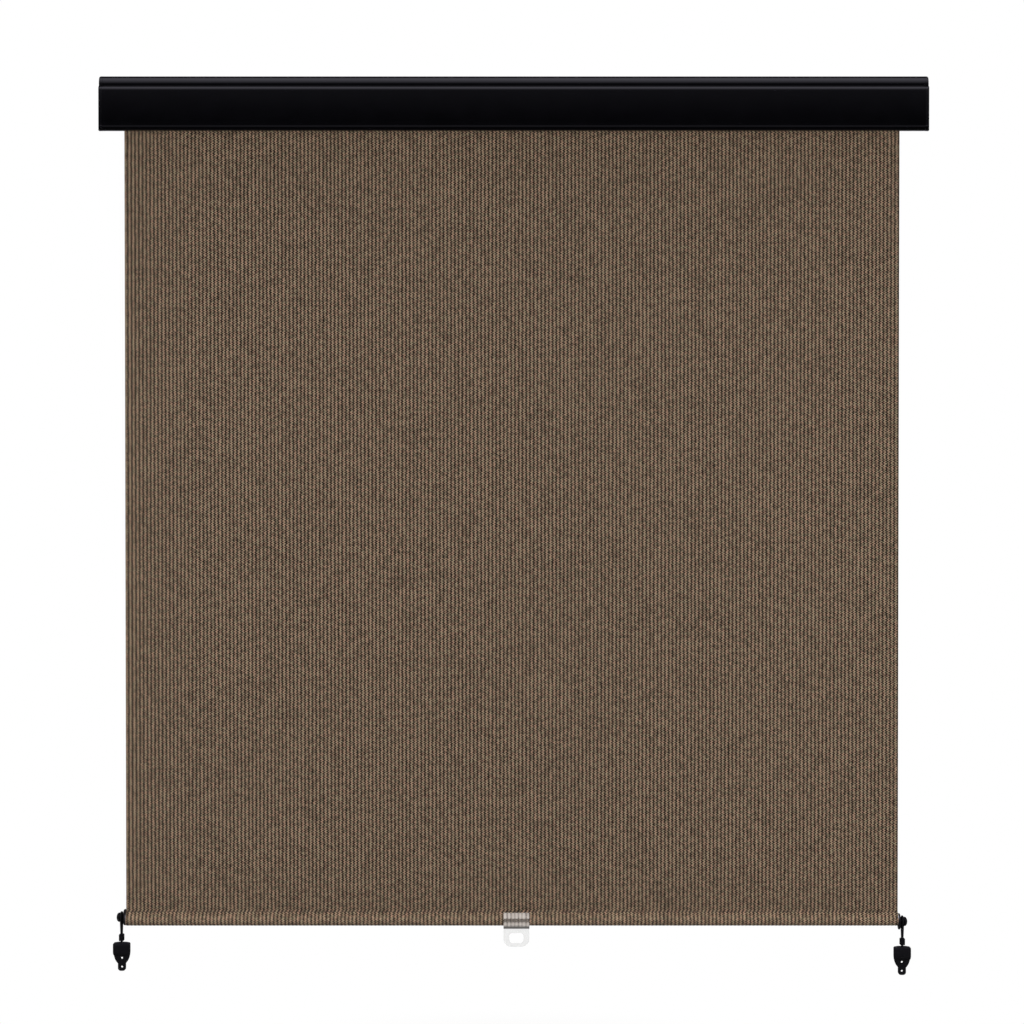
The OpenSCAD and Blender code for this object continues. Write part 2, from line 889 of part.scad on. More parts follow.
// Sleeve that joins the loop's two legs to the tail
module ferrule() {
    depth = 16.5;
    leg = 2.7;
    hole_r = cord_r + seat;
    wide = ferrule_w / 2;
    chamfer = 1.2;
    floor_z = ferrule_top - ferrule_h;
    legs_z = -46.2;
    color(near_black)
        difference() {
            intersection() {
                translate([0, 0, floor_z])
                    linear_extrude(height = ferrule_h)
                        polygon(round_box(-wide, -depth / 2, wide, depth / 2, wide - 1));
                along_y(-depth, depth)
                    polygon([
                        [chamfer - wide, floor_z], [wide - chamfer, floor_z], [wide, floor_z + chamfer],
                        [wide, ferrule_top - chamfer], [wide - chamfer, ferrule_top],
                        [chamfer - wide, ferrule_top], [-wide, ferrule_top - chamfer],
                        [-wide, floor_z + chamfer]
                    ]);
            }
            translate([0, 0, legs_z])
                linear_extrude(height = ferrule_h) {
                    translate([-hole_r, -leg])
                        square([2 * hole_r, 2 * leg]);
                    for (side = [-1, 1])
                        translate([0, side * leg])
                            circle(hole_r);
                }
            translate([0, 0, floor_z - 1])
                cylinder(r = hole_r, h = ferrule_h / 3 + 1);
        }
}

// Moulded bracket: a housing over the knot, a sloping front and a screw tab
module hold_down_bracket() {
    half = hold_w / 2;
    tab = hold_tab_w / 2;
    back = hold_d / 2;
    low = hold_top - hold_h;
    eye_z = low + tab;
    waist = hold_top - 20;
    sweep = 14;
    flare = 5;
    join = eye_z + 8;
    tab_r = tab - 2.3;
    crown = 1.5;
    corner = 3;
    brow = 8;
    throat = 22;
    roof = 4;
    pocket_w = hold_w - 10;
    pocket_h = 19;
    pocket_r = 4;
    pocket_d = hold_d - 2;
    chamfer = 3;
    sink_h = (hold_sink_d - hold_hole_d) / 2;
    outline = both_halves(concat(
        [[0, hold_top], [half / 2, hold_top - crown / 4]],
        reversed(arc([half - corner, hold_top - crown - corner], corner, 0, 80, 5)),
        [for (i = [0:8])
            let (s = i / 8)
            pow(1 - s, 3) * [half, waist] + 3 * s * pow(1 - s, 2) * [half, waist - sweep]
                + 3 * s * s * (1 - s) * [tab + flare, join + flare] + pow(s, 3) * [tab, join]],
        reversed(arc([tab - tab_r, low + tab_r], tab_r, -90, 0, 8))
    ));
    front = back - hold_d;
    tab_front = back - hold_tab_t;
    side = concat(
        [[back, hold_top + past], [front + chamfer, hold_top + past], [front + chamfer, hold_top - past]],
        [[front, hold_top - brow]],
        arc([tab_front, hold_top - throat], hold_d - hold_tab_t, 180, 270, 6),
        [[tab_front, low - past], [back, low - past]]
    );
    color(near_black)
        difference() {
            intersection() {
                along_y(front, back)
                    polygon(outline);
                along_x(-half - past, half + past)
                    polygon(side);
            }
            // Pocket for the knot, open at the back
            along_y(back - pocket_d, back + past)
                polygon(round_box(
                    -pocket_w / 2, hold_top - roof - pocket_h, pocket_w / 2, hold_top - roof, pocket_r
                ));
            translate([0, 0, hold_top - roof - past])
                cylinder(r = cord_r + run, h = 2 * roof);
            for (z = [eye_z, eye_z + hold_pitch])
                translate([0, back, z])
                    rotate([90, 0, 0]) {
                        translate([0, 0, -past])
                            cylinder(d = hold_hole_d, h = 2 * hold_d);
                        translate([0, 0, hold_tab_t - sink_h])
                            cylinder(d1 = hold_hole_d, d2 = hold_sink_d, h = sink_h);
                        translate([0, 0, hold_tab_t])
                            cylinder(d = hold_sink_d, h = hold_d);
                    }
        }
}

module at_left_post() {
    translate([cloth_x - rail_half - loop_x, panel_y, rail_z + knob_offset])
        children();
}

module at_right_post() {
    translate([cloth_x + rail_half + loop_x, panel_y, rail_z - knob_offset])
        children();
}

valance();
left_end_cap();
right_end_cap();
left_bracket();
right_bracket();
idle_bush();
spring_shaft();
shaft_clip();
fabric_panel();
roller_tube();
fabric_roll();
fabric_spline();
idle_plug();
idle_pin();
spring_plug();
spring_anchor();
lift_spring();
brake_spring();
hem();
rail_tube();
left_rail_plug();
right_rail_plug();
pull_clip();
at_left_post() tether();  // left_tether
at_right_post() tether();  // right_tether
at_left_post() ferrule();  // left_ferrule
at_right_post() ferrule();  // right_ferrule
at_left_post() hold_down_bracket();  // left_hold_down_bracket
at_right_post() hold_down_bracket();  // right_hold_down_bracket
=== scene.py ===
"""Looks of an outdoor roller shade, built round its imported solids.

The file is laid out as an add-on: an operator for each group of pieces and one for the stage.
"""
import json
import math

import bmesh
import bpy
from bpy.props import FloatProperty, FloatVectorProperty, IntProperty, PointerProperty
from mathutils import Matrix, Vector


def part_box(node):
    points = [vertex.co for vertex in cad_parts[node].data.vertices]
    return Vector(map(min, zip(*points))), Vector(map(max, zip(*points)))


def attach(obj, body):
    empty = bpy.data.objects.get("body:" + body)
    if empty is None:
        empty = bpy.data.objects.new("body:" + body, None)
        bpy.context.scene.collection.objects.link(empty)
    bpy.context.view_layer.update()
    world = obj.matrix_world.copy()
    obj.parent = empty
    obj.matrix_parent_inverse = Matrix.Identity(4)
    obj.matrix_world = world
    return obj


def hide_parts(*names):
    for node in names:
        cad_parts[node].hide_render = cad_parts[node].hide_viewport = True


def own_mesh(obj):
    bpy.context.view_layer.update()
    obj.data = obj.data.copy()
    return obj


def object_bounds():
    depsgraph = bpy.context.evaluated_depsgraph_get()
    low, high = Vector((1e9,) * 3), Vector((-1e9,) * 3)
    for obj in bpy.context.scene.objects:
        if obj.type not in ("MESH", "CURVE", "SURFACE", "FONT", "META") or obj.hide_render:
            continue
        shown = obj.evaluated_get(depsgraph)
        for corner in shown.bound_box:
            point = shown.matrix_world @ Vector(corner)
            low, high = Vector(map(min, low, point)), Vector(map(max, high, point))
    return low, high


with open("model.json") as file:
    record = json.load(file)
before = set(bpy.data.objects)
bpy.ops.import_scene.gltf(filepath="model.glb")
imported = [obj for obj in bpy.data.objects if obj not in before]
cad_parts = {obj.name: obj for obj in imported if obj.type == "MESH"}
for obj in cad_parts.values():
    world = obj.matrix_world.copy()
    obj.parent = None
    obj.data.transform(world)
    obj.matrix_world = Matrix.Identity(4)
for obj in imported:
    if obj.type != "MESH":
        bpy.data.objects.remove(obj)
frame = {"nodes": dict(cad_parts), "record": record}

bl_info = {
    "name": "Outdoor roller shade",
    "version": (1, 0, 0),
    "blender": (4, 5, 0),
    "location": "View3D > Sidebar > Shade",
    "description": "Dresses the solids of an outdoor roller shade with cloth, mouldings and metal",
    "category": "Object",
}

CAD_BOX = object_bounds()
RECORD = frame["record"]
BODY_OF = {node: body for body, nodes in RECORD["behaviour"]["bodies"].items() for node in nodes}
SLOT_OF = {part["node"]: part["material_slot"] for part in RECORD["subparts"]}
JOINTS = {joint["name"]: joint for joint in RECORD["behaviour"]["joints"]}

# Places taken from the solids, in metres
PANEL_LOW, PANEL_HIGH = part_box("fabric_panel")
HEM_LOW, HEM_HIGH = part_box("hem")
ROLL_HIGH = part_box("fabric_roll")[1]
RAIL_LOW, RAIL_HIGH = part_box("rail_tube")
VALANCE_LOW, VALANCE_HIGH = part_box("valance")
PANEL_Y = (PANEL_LOW.y + PANEL_HIGH.y) / 2
AXLE_Y = sum(corner.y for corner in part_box("roller_tube")) / 2
RAIL_Z = (RAIL_LOW.z + RAIL_HIGH.z) / 2
CLOTH_LEFT, CLOTH_W = PANEL_LOW.x, PANEL_HIGH.x - PANEL_LOW.x
CLOTH_T = PANEL_HIGH.y - PANEL_LOW.y
SIDES = ("left", "right")


def colour_prop(name, description, default):
    return FloatVectorProperty(
        name=name, description=description, default=default, subtype="COLOR", size=3, min=0, max=1
    )


def length_prop(name, description, default):
    return FloatProperty(name=name, description=description, default=default, unit="LENGTH", precision=4, min=0)


class ShadeSizes(bpy.types.PropertyGroup):
    """Sizes that a user would change"""

    rib_count: IntProperty(name="Ribs", description="Ribs across the cloth", default=206, min=40)
    course: length_prop("Course", "Height of one row of knitted loops", 0.0054)
    rib_height: length_prop("Rib height", "How far a rib stands out of the cloth", 0.0004)
    stitch: length_prop("Stitch", "Length of one stitch and its gap along the hem's seam", 0.0075)
    thread: length_prop("Thread", "Diameter of the sewing thread", 0.0014)
    edge_round: length_prop("Edge rounding", "Rounding of the edges of moulded pieces", 0.0005)
    cord: length_prop("Tether cord", "Diameter of the elastic tether", 0.005)
    floor_drop: length_prop("Floor drop", "Floor below the lowest point", 0.3)


class ShadeColours(bpy.types.PropertyGroup):
    """Colours of the finishes"""

    tan_yarn: colour_prop("Tan yarn", "Crown of a rib", (0.300, 0.218, 0.157))
    dark_yarn: colour_prop("Dark yarn", "Gap between two ribs", (0.008, 0.0056, 0.0043))
    thread: colour_prop("Thread", "Sewing thread of the hem", (0.020, 0.015, 0.012))
    valance: colour_prop("Valance", "Near-black extrusion", (0.0005, 0.0005, 0.0009))
    moulding: colour_prop("Moulding", "Black moulded plastic", (0.0046, 0.0044, 0.0056))
    zinc: colour_prop("Zinc", "Plated sheet steel", (0.55, 0.56, 0.57))
    steel: colour_prop("Steel", "Bright shafts and clips", (0.52, 0.52, 0.53))
    spring: colour_prop("Spring wire", "Oiled spring steel", (0.12, 0.12, 0.125))
    aluminium: colour_prop("Aluminium", "Mill-finish tubes", (0.74, 0.75, 0.76))
    nylon: colour_prop("Nylon", "Natural nylon", (0.76, 0.73, 0.64))
    cord: colour_prop("Cord", "Braided tether", (0.0040, 0.0040, 0.0046))
    clear: colour_prop("Clear", "Clear plastic of the pull clip", (0.86, 0.79, 0.73))


# Node trees


class Net:
    """A node tree with short calls that add and link nodes"""

    def __init__(self, tree):
        self.tree = tree
        tree.nodes.clear()

    def put(self, socket, value):
        if isinstance(value, bpy.types.NodeSocket):
            self.tree.links.new(value, socket)
        elif value is not None:
            socket.default_value = value

    def add(self, kind, *inputs, **settings):
        node = self.tree.nodes.new(kind)
        for name, value in settings.items():
            setattr(node, name, value)
        for socket, value in zip(node.inputs, inputs):
            self.put(socket, value)
        return node

    def math(self, operation, *values):
        return self.add("ShaderNodeMath", *values, operation=operation).outputs[0]

    def span(self, value, low, high, to_low=0.0, to_high=1.0, smooth=True):
        kind = "SMOOTHSTEP" if smooth else "LINEAR"
        return self.add("ShaderNodeMapRange", value, low, high, to_low, to_high, interpolation_type=kind).outputs[0]

    def mix(self, factor, first, second, blend="MIX"):
        node = self.add("ShaderNodeMix", data_type="RGBA", blend_type=blend)
        for index, value in ((0, factor), (6, first), (7, second)):
            self.put(node.inputs[index], (*value, 1) if isinstance(value, tuple) else value)
        return node.outputs[2]

    def place(self):
        """The object's own coordinates in metres"""
        return self.add("ShaderNodeTexCoord").outputs["Object"]

    def parts(self, vector):
        return self.add("ShaderNodeSeparateXYZ", vector).outputs

    def stretch(self, vector, factors):
        return self.add("ShaderNodeVectorMath", vector, factors, operation="MULTIPLY").outputs[0]

    def noise(self, vector, scale, detail=2.0, roughness=0.5):
        node = self.add("ShaderNodeTexNoise")
        for name, value in (("Vector", vector), ("Scale", scale), ("Detail", detail), ("Roughness", roughness)):
            self.put(node.inputs[name], value)
        return node.outputs["Fac"]

    def bump(self, height, strength, distance):
        node = self.add("ShaderNodeBump")
        for name, value in (("Height", height), ("Strength", strength), ("Distance", distance)):
            self.put(node.inputs[name], value)
        return node.outputs[0]

    def surface(self, **sockets):
        shader = self.add("ShaderNodeBsdfPrincipled")
        for name, value in sockets.items():
            value = (*value, 1) if isinstance(value, tuple) else value
            self.put(shader.inputs[name.replace("_", " ")], value)
        self.tree.links.new(shader.outputs[0], self.add("ShaderNodeOutputMaterial").inputs[0])


def group(name, inputs, outputs, build):
    """A shader node group, made once, with named float inputs and outputs"""
    tree = bpy.data.node_groups.get(name)
    if tree is None:
        tree = bpy.data.node_groups.new(name, "ShaderNodeTree")
        for socket in inputs:
            tree.interface.new_socket(socket, in_out="INPUT", socket_type="NodeSocketFloat")
        for socket in outputs:
            tree.interface.new_socket(socket, in_out="OUTPUT", socket_type="NodeSocketFloat")
        net = Net(tree)
        given = net.add("NodeGroupInput").outputs
        net.add("NodeGroupOutput", *build(net, *given[: len(inputs)]))
    return tree


def moulded_grain(net, scale):
    """Fine spark-eroded grain with a few shallow scuffs"""

    def build(inner, scale):
        place = inner.place()
        grain = inner.noise(place, scale, 3.0, 0.6)
        cloud = inner.noise(place, 14.0, 4.0, 0.6)
        scuff = inner.noise(inner.stretch(place, (9, 90, 260)), 1.0, 4.0, 0.7)
        shade = inner.math("ADD", inner.math("MULTIPLY", cloud, 0.6), inner.math("MULTIPLY", scuff, 0.4))
        return grain, shade

    node = net.add("ShaderNodeGroup", node_tree=group("moulded_grain", ["Scale"], ["Height", "Shade"], build))
    node.inputs[0].default_value = scale
    return node.outputs[0], node.outputs[1]


def drawn_lines(net, scale):
    """Lines that drawing or extruding leaves along the roller's axis"""

    def build(inner, scale):
        place = inner.place()
        lines = inner.noise(inner.stretch(place, (1.5, 260, 260)), scale, 4.0, 0.65)
        cloud = inner.noise(place, 22.0, 3.0, 0.55)
        return lines, cloud

    node = net.add("ShaderNodeGroup", node_tree=group("drawn_lines", ["Scale"], ["Lines", "Cloud"], build))
    node.inputs[0].default_value = scale
    return node.outputs[0], node.outputs[1]


# Finishes


def shades(colour, dark, light):
    """A colour made darker and lighter by two factors"""
    return [tuple(min(1.0, factor * value) for value in colour) for factor in (dark, light)]


def rail_level(net, place):
    """Height above the rail's axis"""
    return net.math("SUBTRACT", net.parts(place)[2], RAIL_Z)


def shade_cloth(net, sizes, colours, two_layers_painted_shading=False):
    """Ribs of tan loops over dark gaps, read from the cloth's own flat coordinates in metres"""
    flat = net.add("ShaderNodeUVMap", uv_map="flat").outputs[0]
    across, along, _ = net.parts(flat)
    patch = net.noise(flat, 190.0, 2.0, 0.5)
    fibre = net.noise(flat, 700.0, 2.0, 0.6)
    wobble = net.math("SUBTRACT", net.noise(flat, 60.0, 3.0, 0.6), 0.5)
    row = net.math("MULTIPLY_ADD", wobble, 0.6, net.math("DIVIDE", along, sizes.course))
    swing = net.math("SUBTRACT", net.math("PINGPONG", row, 0.5), 0.25)
    swing = net.math("MULTIPLY", swing, net.span(patch, 0.3, 0.7, 0.7, 1.5))
    straight = net.math("MULTIPLY_ADD", across, sizes.rib_count / CLOTH_W, 0.2)
    rib = net.math("ADD", net.math("ADD", straight, net.math("MULTIPLY", wobble, 0.5)), swing)
    cell = net.add("ShaderNodeCombineXYZ", net.math("FLOOR", rib), net.math("FLOOR", row)).outputs[0]
    stitch = net.add("ShaderNodeTexWhiteNoise", cell, noise_dimensions="2D").outputs["Value"]
    crown = net.span(net.math("PINGPONG", rib, 0.5), 0.15, 0.38)
    loops = net.math("MULTIPLY_ADD", net.math("COSINE", net.math("MULTIPLY", row, 2 * math.pi)), 0.5, 0.5)
    light = net.math("MULTIPLY", crown, net.math("MULTIPLY_ADD", loops, 0.2, 0.8))
    light = net.math("MULTIPLY", light, net.math("MULTIPLY_ADD", stitch, 0.7, 0.65))
    for source, share in ((fibre, 0.25), (patch, 0.35)):
        light = net.math("ADD", light, net.math("MULTIPLY", net.math("SUBTRACT", source, 0.5), share))
    yarn = net.mix(net.span(light, 0.0, 1.0, smooth=False), tuple(colours.dark_yarn), tuple(colours.tan_yarn))
    hue = net.span(net.noise(flat, 140.0, 1.0), 0.35, 0.65)
    yarn = net.mix(1.0, yarn, net.mix(hue, (1.10, 0.97, 0.93), (0.92, 1.02, 0.93)), "MULTIPLY")
    # The hem is lighter overall for its two layers of cloth. It also carries painted light and shade by height round
    # the rail, lighter towards its top and darker underneath, as on a tube lit from above.
    if two_layers_painted_shading:
        level = rail_level(net, net.place())
        yarn = net.mix(1.0, yarn, net.span(level, -0.013, 0.008, 0.9, 1.5), "MULTIPLY")
    raised = net.math("MULTIPLY", crown, net.math("MULTIPLY_ADD", loops, 0.5, 0.5))
    height = net.math("MULTIPLY_ADD", fibre, 0.25, raised)
    net.surface(Base_Color=yarn, Roughness=0.88, Specular_IOR_Level=0.25, Normal=net.bump(height, 0.7, 0.0006))


def valance_black(net, sizes, colours):
    """Satin extrusion with faint die lines"""
    lines, cloud = drawn_lines(net, 1.0)
    rough = net.math("ADD", net.span(cloud, 0.3, 0.7, 0.15, 0.18), net.math("MULTIPLY", lines, 0.03))
    shade = net.mix(cloud, *shades(colours.valance, 0.9, 1.1))
    net.surface(Base_Color=shade, Roughness=rough, Specular_IOR_Level=0.5, Normal=net.bump(lines, 0.02, 0.0002))


def moulded(net, colour, rough, grain=1500.0, strength=0.12, gloss=0.22):
    """Moulded plastic: grain in the surface, and a sheen that varies a little"""
    height, shade = moulded_grain(net, grain)
    tint = net.mix(shade, *shades(colour, 0.85, 1.15))
    net.surface(
        Base_Color=tint, Roughness=net.span(shade, 0.3, 0.7, rough - 0.06, rough + 0.06),
        Specular_IOR_Level=gloss, Normal=net.bump(height, strength, 0.0002),
    )


def drawn_metal(net, colour, rough):
    """Tube or shaft with lines along its length"""
    lines, cloud = drawn_lines(net, 1.0)
    tint = net.mix(cloud, *shades(colour, 0.86, 1.08))
    spread = net.math("ADD", net.span(cloud, 0.3, 0.7, rough - 0.05, rough + 0.05), net.math("MULTIPLY", lines, 0.08))
    net.surface(Base_Color=tint, Metallic=1.0, Roughness=spread, Normal=net.bump(lines, 0.10, 0.0002))


def zinc_sheet(net, sizes, colours):
    """Zinc plating: a soft spangle, duller in the grains that took the light less"""
    place = net.place()
    spangle = net.add("ShaderNodeTexVoronoi", feature="F1")
    net.put(spangle.inputs["Vector"], place)
    net.put(spangle.inputs["Scale"], 240.0)
    grain = net.parts(spangle.outputs["Color"])[0]
    cloud = net.noise(place, 30.0, 3.0)
    tone = net.math("MULTIPLY_ADD", grain, 0.5, net.math("MULTIPLY", cloud, 0.5))
    tint = net.mix(tone, *shades(colours.zinc, 0.8, 1.15))
    net.surface(
        Base_Color=tint, Metallic=1.0, Roughness=net.span(tone, 0.2, 0.8, 0.32, 0.5),
        Normal=net.bump(cloud, 0.05, 0.0003),
    )


def tether_cord(net, sizes, colours):
    """Braided sleeve: two sets of strands that cross over each other round the cord"""
    flat = net.add("ShaderNodeUVMap", uv_map="flat").outputs[0]
    around, along, _ = net.parts(flat)
    strands, row = 6.0, 0.0032
    turns = net.math("MULTIPLY", around, strands)
    rows = net.math("DIVIDE", along, row)
    first = net.math("PINGPONG", net.math("ADD", turns, rows), 0.5)
    second = net.math("PINGPONG", net.math("SUBTRACT", turns, rows), 0.5)
    strand = net.math("MAXIMUM", first, second)
    fuzz = net.noise(net.place(), 2500.0, 2.0)
    shade = net.math("ADD", net.span(strand, 0.22, 0.5), net.math("MULTIPLY", net.math("SUBTRACT", fuzz, 0.5), 0.6))
    tint = net.mix(net.span(shade, 0, 1, smooth=False), *shades(colours.cord, 0.4, 2.0))
    net.surface(Base_Color=tint, Roughness=0.75, Specular_IOR_Level=0.3, Normal=net.bump(strand, 0.8, 0.0005))


def clear_plastic(net, sizes, colours):
    """Clear moulding: a milky band whose upper and lower parts are painted lighter as reflections, with a strip of
    painted shade along its middle, the cloth's ribs painted on it as seen through the plastic, a thick foot painted
    dark for the dark cloth refracted through it, and a thin ring
    """
    painted_shade_tint, ring_tint, painted_refraction_tint = (0.23, 0.200, 0.178), (0.55, 0.55, 0.54), (0.13, 0.125, 0.12)
    ring_alpha, foot_alpha, painted_shade_alpha, flow_alpha = 0.18, 0.45, 0.14, 0.34
    foot_low, foot_high, soft = -0.021, -0.015, 0.0005
    place = net.place()
    flow = net.noise(net.stretch(place, (150, 20, 12)), 1.0, 3.0)
    level = rail_level(net, place)
    # A strip of painted shade along the band's middle, between the painted reflections above and below it.
    painted_shade_strip = net.math("MULTIPLY", net.span(level, -0.0095, -0.0010), net.span(level, 0.0022, 0.0068, 1.0, 0.0))
    # Columns of the cloth's ribs, painted on the band for the cloth seen through the clear plastic.
    ribs = net.math("MULTIPLY", net.parts(place)[0], 2 * math.pi * sizes.rib_count / CLOTH_W)
    column = net.math("MULTIPLY_ADD", net.math("COSINE", net.math("MULTIPLY_ADD", flow, 3.0, ribs)), 0.24, 0.98)
    # The thick foot is painted dark, standing for the dark cloth refracted through it.
    above_foot = net.span(level, foot_low - soft, foot_low + soft)
    foot = net.math("MULTIPLY", above_foot, net.span(level, foot_high - soft, foot_high + soft, 1.0, 0.0))
    ring = net.span(level, foot_low - soft, foot_low + soft, 1.0, 0.0)
    # Opacity of the pale tint over the cloth. It holds frosting that the flow noise varies, painted reflection that is
    # stronger on the lower half that faces away from the lamps, and painted shade along the strip.
    frost_and_painted_glare = net.math("MULTIPLY_ADD", painted_shade_strip, painted_shade_alpha, net.span(level, -0.009, -0.003, 0.45, 0.37))
    frost_and_painted_glare = net.math("ADD", frost_and_painted_glare, net.math("MULTIPLY", net.math("SUBTRACT", flow, 0.5), flow_alpha))
    band = net.mix(1.0, net.mix(painted_shade_strip, tuple(colours.clear), painted_shade_tint), column, "MULTIPLY")
    net.surface(
        Base_Color=net.mix(foot, net.mix(ring, band, ring_tint), painted_refraction_tint),
        Roughness=net.span(flow, 0.3, 0.7, 0.10, 0.18), Specular_IOR_Level=0.4,
        Alpha=net.mix(ring, net.math("MULTIPLY_ADD", foot, foot_alpha, frost_and_painted_glare), (ring_alpha,) * 3),
        Normal=net.bump(flow, 0.06, 0.0005),
    )


def sewing_thread(net, sizes, colours):
    """Twisted thread"""
    twist = net.noise(net.stretch(net.place(), (1600, 900, 1400)), 1.0, 2.0)
    tint = net.mix(twist, *shades(colours.thread, 0.6, 1.4))
    net.surface(Base_Color=tint, Roughness=0.7, Normal=net.bump(twist, 0.5, 0.0003))


FINISHES = {
    "shade_cloth": shade_cloth,
    # Hem finish: shade cloth lifted for its two layers, with painted light and shade by height round the rail.
    "two_layer_hem_painted_shading": lambda net, sizes, colours: shade_cloth(net, sizes, colours, True),
    "valance_black": valance_black,
    "cap_black": lambda net, sizes, colours: moulded(net, colours.valance, 0.27, 1800.0, 0.03, 0.5),
    "moulded_black": lambda net, sizes, colours: moulded(net, colours.moulding, 0.45),
    "nylon": lambda net, sizes, colours: moulded(net, colours.nylon, 0.5, 1200.0, 0.08),
    "bracket_steel": zinc_sheet,
    "shaft_steel": lambda net, sizes, colours: drawn_metal(net, colours.steel, 0.28),
    "spring_steel": lambda net, sizes, colours: drawn_metal(net, colours.spring, 0.34),
    "aluminium": lambda net, sizes, colours: drawn_metal(net, colours.aluminium, 0.36),
    "tether_cord": tether_cord,
    "clear_plastic": clear_plastic,
    "sewing_thread": sewing_thread,
}


def finish_of(context, name):
    """The material of a finish, made the first time it is asked for"""
    found = bpy.data.materials.get(name + "_finish")
    if found is None:
        found = bpy.data.materials.new(name + "_finish")
        found.use_nodes = True
        FINISHES[name](Net(found.node_tree), context.scene.shade_sizes, context.scene.shade_colours)
    return found


# Meshes


def put_piece(context, name, bm, finish, body, slot, nodes=(), smooth=40):
    """Makes a piece of a bmesh, rides it on its body and lets it stand for its nodes"""
    mesh = bpy.data.meshes.new(name)
    bm.to_mesh(mesh)
    bm.free()
    mesh.polygons.foreach_set("use_smooth", [True] * len(mesh.polygons))
    mesh.set_sharp_from_angle(angle=math.radians(smooth))
    piece = bpy.data.objects.new(name, mesh)
    context.collection.objects.link(piece)
    mesh.materials.append(finish_of(context, finish))
    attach(piece, body)
    if nodes:
        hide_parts(*nodes)
    return piece


def level_normals(piece):
    """Keeps broad flat faces flat beside their rounded edges"""
    piece.modifiers.new("level_normals", "WEIGHTED_NORMAL").keep_sharp = True


def dress(context, node, share=1.0):
    """A copy of a rigid node in the finish of its slot, its hard edges rounded by a share of the edge rounding"""
    hard_angle, flat_angle, join = math.radians(35), math.radians(0.2), 2e-6
    bm = bmesh.new()
    bm.from_mesh(frame["nodes"][node].data)
    bmesh.ops.remove_doubles(bm, verts=bm.verts, dist=join)
    bmesh.ops.dissolve_limit(
        bm, angle_limit=flat_angle, use_dissolve_boundaries=False, verts=bm.verts, edges=bm.edges, delimit={"NORMAL"}
    )
    bmesh.ops.bevel(
        bm, geom=[edge for edge in bm.edges if edge.calc_face_angle(0.0) > hard_angle],
        offset=share * context.scene.shade_sizes.edge_round, offset_type="OFFSET", affect="EDGES", segments=2,
        profile=0.5, material=-1, clamp_overlap=True,
    )
    slot = SLOT_OF[node]
    level_normals(put_piece(context, node + "_dressed", bm, slot, BODY_OF[node], slot, [node]))


def keep(context, *nodes):
    """Gives nodes whose shape is right the finish of their slot"""
    for node in nodes:
        mesh = frame["nodes"][node].data
        mesh.materials.clear()
        mesh.materials.append(finish_of(context, SLOT_OF[node]))


def mapped_grid(bm, columns, rows, place, flat, flip=False):
    """A grid whose points go to place(s, t), with flat coordinates from flat(s, t), where s and t run from 0 to 1"""
    made = bmesh.ops.create_grid(bm, x_segments=columns, y_segments=rows, size=0.5)["verts"]
    layer = bm.loops.layers.uv.get("flat") or bm.loops.layers.uv.new("flat")
    spot = {vert: (vert.co.x + 0.5, vert.co.y + 0.5) for vert in made}
    faces = {face for vert in made for face in vert.link_faces}
    for face in faces:
        for loop in face.loops:
            loop[layer].uv = flat(*spot[loop.vert])
    for vert in made:
        vert.co = place(*spot[vert])
    if flip:
        bmesh.ops.reverse_faces(bm, faces=list(faces))
    return spot


def thick_sheet(columns, rows, front, back, flat):
    """Two mapped grids joined along their borders, for cloth with a thickness"""
    bm = bmesh.new()
    spot = mapped_grid(bm, columns, rows, front, flat)
    spot.update(mapped_grid(bm, columns, rows, back, flat, flip=True))
    border = [edge for edge in bm.edges if edge.is_boundary]
    sides = bmesh.ops.bridge_loops(bm, edges=border)["faces"]
    layer = bm.loops.layers.uv["flat"]
    for face in sides:
        for loop in face.loops:
            loop[layer].uv = flat(*spot[loop.vert])
    bmesh.ops.recalc_face_normals(bm, faces=bm.faces)
    return bm


def smooth_path(points, per_span):
    """Points along a smooth curve through the given ones"""
    path = []
    ends = [points[0] * 2 - points[1], *points, points[-1] * 2 - points[-2]]
    for a, b, c, d in zip(ends, ends[1:], ends[2:], ends[3:]):
        for step in range(per_span):
            s = step / per_span
            path.append(
                0.5 * (2 * b + (c - a) * s + (2 * a - 5 * b + 4 * c - d) * s * s + (3 * b - a - 3 * c + d) * s ** 3)
            )
    return path + [points[-1]]


def run_lengths(path):
    """Distance along a path at each of its points"""
    total = [0.0]
    for a, b in zip(path, path[1:]):
        total.append(total[-1] + (b - a).length)
    return total


def tube(path, radii, sides, up):
    """A closed tube along a path, with flat coordinates of turns round it and metres along it"""
    frames = []
    for index, point in enumerate(path):
        ahead = (path[min(index + 1, len(path) - 1)] - path[max(index - 1, 0)]).normalized()
        side = ahead.cross(up).normalized()
        frames.append((point, side, side.cross(ahead)))
    total = run_lengths(path)
    last = len(path) - 1

    def place(s, t):
        index = round(t * last)
        point, side, over = frames[index]
        return point + radii[index] * (math.cos(2 * math.pi * s) * side + math.sin(2 * math.pi * s) * over)

    bm = bmesh.new()
    mapped_grid(bm, sides, last, place, lambda s, t: (s, total[round(t * last)]))
    bmesh.ops.remove_doubles(bm, verts=bm.verts, dist=1e-7)
    bmesh.ops.holes_fill(bm, edges=[edge for edge in bm.edges if edge.is_boundary], sides=0)
    bmesh.ops.recalc_face_normals(bm, faces=bm.faces)
    return bm


# Pieces


